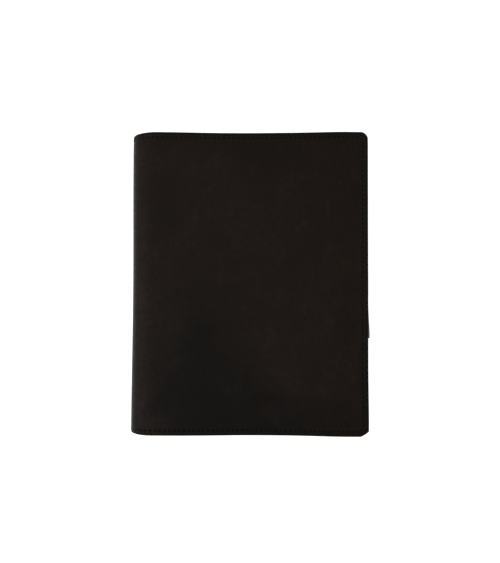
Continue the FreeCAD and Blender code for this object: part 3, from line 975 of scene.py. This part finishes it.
def add_board(side):
    """One cover of the notebook: a board that thins at its joint to the covering alone."""
    panel = PANELS[side]

    def grooved(u):
        """The outside, with the groove of the joint."""
        return case_face(panel, u) + ridge(u, JOINT_U, 1.4 * MM) * 0.3 * MM

    def outer(u, y, edge):
        return grooved(u) + rim(edge, 0.6 * MM, 0.4 * MM)

    def inner(u, y, edge):
        thickness = CASE + (BOARD - CASE - 0.15 * MM) * smooth((u - JOINT_U - 0.5 * MM) / (2.5 * MM))
        return grooved(u) + thickness - rim(edge, 0.6 * MM, 0.4 * MM)

    fine_end = 24 * MM
    near = np.arange(CASE_START, fine_end, 0.8 * MM)
    far = graded(fine_end, panel.wrap.u_at(BOOK_HIGH.x), 3 * MM, BOOK_EDGES)[len(BOOK_EDGES) - 1 :]
    lines_u = np.concatenate([CASE_START + np.array(BOOK_EDGES[:2]), near[1:], far])
    lines_y = graded(-BOOK_HALF, BOOK_HALF, 3 * MM, BOOK_EDGES)
    place, radius = panel.wrap.place_straight, 2.4 * MM
    piece = sheet_piece(f"book_{side}_board", place, lines_u, lines_y, outer, inner, radius, BOOK_COVER)
    bend(piece, side, STACK)
    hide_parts(f"notebook_{side}_board")


def add_endpaper(side):
    panel = PANELS[side]
    low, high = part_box(f"notebook_{side}_endpaper")
    start = JOINT_U + 4.5 * MM
    face = BOARD - 0.1 * MM
    half = high.y - 0.6 * MM

    def outer(u, y, edge):
        return case_face(panel, u) + face

    def inner(u, y, edge):
        return case_face(panel, u) + face + (high.z - low.z) * 0.8

    edges = steps(0, 0.3, 0.8, 1.6, 3)
    lines_u = graded(start, panel.wrap.u_at(high.x), 6 * MM, edges)
    lines_y = graded(-half, half, 6 * MM, edges)
    place = panel.wrap.place_straight
    piece = sheet_piece(f"book_{side}_endpaper", place, lines_u, lines_y, outer, inner, 1.6 * MM, PAPER)
    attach(piece, f"{side}_cover")
    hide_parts(f"notebook_{side}_endpaper")


def spine_place(u, y, depth):
    """A place on either half of the spine: u is negative on the back half."""
    front = FRONT.place_straight(np.abs(u), y, depth)
    back = BACK.place_straight(np.abs(u), y, depth)
    return np.where((np.asarray(u) > 0)[..., None], front, back)


def add_book_spine():
    """The notebook's rounded spine, with a shallow line pressed along each side."""
    depth = LEATHER + STACK - LINING_DEPTH + CASE_GAP
    reach = CASE_START - 0.15 * MM

    def outer(u, y, edge):
        line = ridge(np.abs(u), reach - 1.2 * MM, 0.4 * MM) * 0.15 * MM
        return depth + line + rim(edge, 0.5 * MM, 0.3 * MM)

    def inner(u, y, edge):
        return depth + 1.1 * MM - rim(edge, 0.5 * MM, 0.3 * MM)

    edges = steps(0, 0.15, 0.4, 0.8, 1.4)
    lines_u, lines_y = graded(-reach, reach, 0.5 * MM, edges), graded(-BOOK_HALF, BOOK_HALF, 3 * MM, edges)
    piece = sheet_piece("book_spine", spine_place, lines_u, lines_y, outer, inner, MM, BOOK_COVER)
    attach(piece, "spine")
    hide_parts("notebook_spine")


PAGE_DEPTH = 4.0 * MM  # the pages' rounded back, inside the cover's outside
PAGE_BACK_REACH = 15 * MM


def back_of_pages(z):
    """Where the pages' back lies at each height."""
    u = np.linspace(0, PAGE_BACK_REACH, 301)
    line = np.concatenate([BACK.place(u, 0, PAGE_DEPTH)[::-1], FRONT.place(u, 0, PAGE_DEPTH)])
    line = line[np.argsort(line[:, 2])]
    return np.interp(z, line[:, 2], line[:, 0])


def leaves_piece(name, low, high, bottom, top, leaves, ragged, seed):
    """A block of leaves, whose sides step in and out leaf by leaf."""
    random = np.random.default_rng(seed)
    edges = steps(0, 0.4, 1.2)
    fine_end = low.x + 24 * MM
    far = graded(fine_end, high.x, 8 * MM, edges)[len(edges) - 1 :]
    lines_x = np.concatenate([np.linspace(low.x, fine_end, 31), far[1:]])
    lines_y = graded(low.y + 0.3 * MM, high.y - 0.3 * MM, 9 * MM, edges)
    x, y = (axis.ravel() for axis in np.meshgrid(lines_x, lines_y))
    columns, rows = len(lines_x), len(lines_y)
    loop = np.array(grid_outline(columns, rows))

    def layer(share, step_x, step_y, index):
        """Points on the rounded back, stepped out at the cut edges."""
        flat_x, flat_y = x[index], y[index]
        z = bottom(flat_x) + (top(flat_x) - bottom(flat_x)) * share
        pulled = 1 - smooth((flat_x - low.x) / (16 * MM))
        out_x = np.where(flat_x > high.x - 0.1 * MM, step_x, 0)
        cut = np.abs(np.abs(flat_y) - lines_y.max()) < 0.1 * MM
        out_y = np.where(cut, step_y, 0) * np.sign(flat_y)
        return np.stack([flat_x + (back_of_pages(z) - low.x) * pulled + out_x, flat_y + out_y, z], axis=1)

    everything = np.arange(len(x))
    step = random.normal(0, ragged, (leaves, 2)).clip(-2 * ragged, 2 * ragged)
    vertices = [layer(0, *step[0], everything)]
    for leaf in range(leaves):
        for share in ((leaf + 0.06) / leaves, (leaf + 0.94) / leaves):
            vertices.append(layer(share, *step[leaf], loop))
    vertices.append(layer(1, *step[-1], everything))
    faces = [list(reversed(face)) for face in grid_faces(0, columns, rows)]
    rings = [loop] + [len(x) + i * len(loop) + np.arange(len(loop)) for i in range(2 * leaves)]
    top_first = len(x) + 2 * leaves * len(loop)
    rings.append(top_first + loop)
    for under, over in zip(rings, rings[1:]):
        under_next, over_next = np.roll(under, -1), np.roll(over, -1)
        faces += np.stack([under, under_next, over_next, over], axis=1).tolist()
    faces += grid_faces(top_first, columns, rows)
    return make_object(name, np.concatenate(vertices), faces, PAPER)


def bend_leaves(piece):
    """Bakes the leaves' place into their mesh."""
    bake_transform(piece)


FLAP_TOP = FLAP_DEPTH + 0.1 * MM
BOARD_TOP = STACK + BOARD + 0.35 * MM


def add_page_block():
    """The pages on the back board. They clear the fold and rise over the flap's free edge."""
    low, high = PAPER_LOW, PAPER_HIGH

    def bottom(x):
        over_flap = smooth((x - FLAP_LEFT + 9 * MM) / (8 * MM))
        over_fold = 1 - smooth((x - low.x) / (10 * MM))
        return BOARD_TOP + (FLAP_TOP - BOARD_TOP) * over_flap + 2 * MM * over_fold

    def top(x):
        return high.z - 0.05 * MM + 0 * x

    piece = leaves_piece("page_block_leaves", low, high, bottom, top, leaves=44, ragged=0.07 * MM, seed=5)
    bend_leaves(piece)
    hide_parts("page_block")


def add_section(index):
    """A few leaves. Near the spine the sections press together."""
    node = f"page_section_{index + 1}"
    low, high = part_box(node)
    squeeze = 0.5 * MM * index

    def lowered(x):
        return squeeze * (1 - smooth((x - low.x) / (12 * MM)))

    def bottom(x):
        return low.z - lowered(x)

    def top(x):
        return high.z - lowered(x)

    seed = 11 + index
    piece = leaves_piece(f"{node}_leaves", low, high, bottom, top, leaves=5, ragged=0.12 * MM, seed=seed)
    bend_leaves(piece)
    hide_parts(node)


BAND_RADIUS = 0.72 * MM
BAND_DEPTH = 0.35 * MM  # how far its middle lies inside the pages' back
BAND_WINDINGS = 17
BAND_SIDES = 12


def add_band(node, name):
    """Thread wound over a core along the pages' back, at one end of the notebook."""
    low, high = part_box(node)
    y = (low.y + high.y) / 2
    stations = np.linspace(low.z, high.z, BAND_WINDINGS * 6 + 1)
    turn = np.linspace(0, 2 * math.pi, BAND_SIDES, endpoint=False)
    vertices = []
    for z in stations:
        share = (z - low.z) / (high.z - low.z)
        radius = BAND_RADIUS * (0.9 + 0.1 * abs(math.sin(math.pi * BAND_WINDINGS * share)))
        radius *= math.sqrt(max(0.05, 1 - (2 * share - 1) ** 8))
        across = back_of_pages(z) + BAND_DEPTH
        vertices.extend([across + radius * math.cos(a), y + radius * math.sin(a), z] for a in turn)
    faces = tube_faces(0, BAND_SIDES, len(stations))
    faces.append(list(range(BAND_SIDES)))
    faces.append([len(vertices) - BAND_SIDES + i for i in range(BAND_SIDES)])
    piece = make_object(name, vertices, faces, BAND_CLOTH, sharp_angle=80)
    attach(piece, "spine")
    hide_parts(node)


# ---- studio

CAMERA_LENS = 59.6
CAMERA_DISTANCE = 0.6738
CAMERA_ELEVATION = math.radians(87.4)
CAMERA_ROLL = math.radians(0.2)
AIM = Vector((-0.0009, 0.0011, 0.024))
FLOOR_SIZE = 40
FLOOR_TOP = -0.4 * MM
ROOM_LIGHT = 0.28
WINDOW_PLACE = Vector((-0.75, -0.24, 0.9))
WINDOW_SIZE = 1.0
WINDOW_POWER = 3.1


def add_floor():
    """A plain white table that glows, so that no shadow shows on it."""
    cells = 8
    bpy.ops.mesh.primitive_grid_add(x_subdivisions=cells, y_subdivisions=cells, size=FLOOR_SIZE)
    floor = bpy.context.object
    floor.name = "floor"
    floor.location.z = FLOOR_TOP
    coat = Finish("floor_white", 0.8, 0.2)
    cloud = coat.noise(3, 2)
    colour = coat.tint((0.9, 0.9, 0.9), (0.93, 0.93, 0.93), cloud, 0.3, 0.7)
    coat.shader.inputs["Emission Color"].default_value = (1, 1, 1, 1)
    coat.shader.inputs["Emission Strength"].default_value = 1.0
    coat.tree.links.new(colour, coat.shader.inputs["Base Color"])
    floor.data.materials.append(coat.material)


def add_window():
    """A large soft light on the spine's side."""
    data = bpy.data.lights.new("window", "AREA")
    data.shape = "DISK"
    data.size = WINDOW_SIZE
    data.energy = WINDOW_POWER
    light = bpy.data.objects.new("window", data)
    light.location = WINDOW_PLACE
    light.rotation_euler = (-WINDOW_PLACE).to_track_quat("-Z", "Y").to_euler()
    bpy.context.scene.collection.objects.link(light)


def add_studio():
    scene = bpy.context.scene
    scene.view_settings.view_transform = "Standard"
    world = bpy.data.worlds.new("studio")
    world.use_nodes = True
    background = world.node_tree.nodes["Background"].inputs
    background["Color"].default_value = (1, 1, 1, 1)
    background["Strength"].default_value = ROOM_LIGHT
    scene.world = world
    add_window()

    data = bpy.data.cameras.new("camera")
    data.lens = CAMERA_LENS
    camera = bpy.data.objects.new("camera", data)
    back = Vector((0, -math.cos(CAMERA_ELEVATION), math.sin(CAMERA_ELEVATION)))
    tilt = Matrix.Rotation(math.pi / 2 - CAMERA_ELEVATION, 4, "X")
    roll = Matrix.Rotation(CAMERA_ROLL, 4, "Z")
    camera.matrix_world = Matrix.Translation(AIM + back * CAMERA_DISTANCE) @ tilt @ roll
    scene.collection.objects.link(camera)
    scene.camera = camera


add_studio()
add_floor()
for add_layer, layer in ((add_hide, "outer_leather"), (add_lining, "lining"), (add_seam, "stitching")):
    add_layer("front", f"front_{layer}")
    add_layer("back", f"back_{layer}", f"spine_{layer}")
for side in PANELS:
    add_leatherboard(side)
    add_flap(side)
    add_board(side)
    add_endpaper(side)
add_card_pocket("card_pocket_upper")
add_card_pocket("card_pocket_lower")
add_pen_loop()
add_book_spine()
add_page_block()
for index in range(3):
    add_section(index)
add_band("head_band", "band_head")
add_band("tail_band", "band_tail")
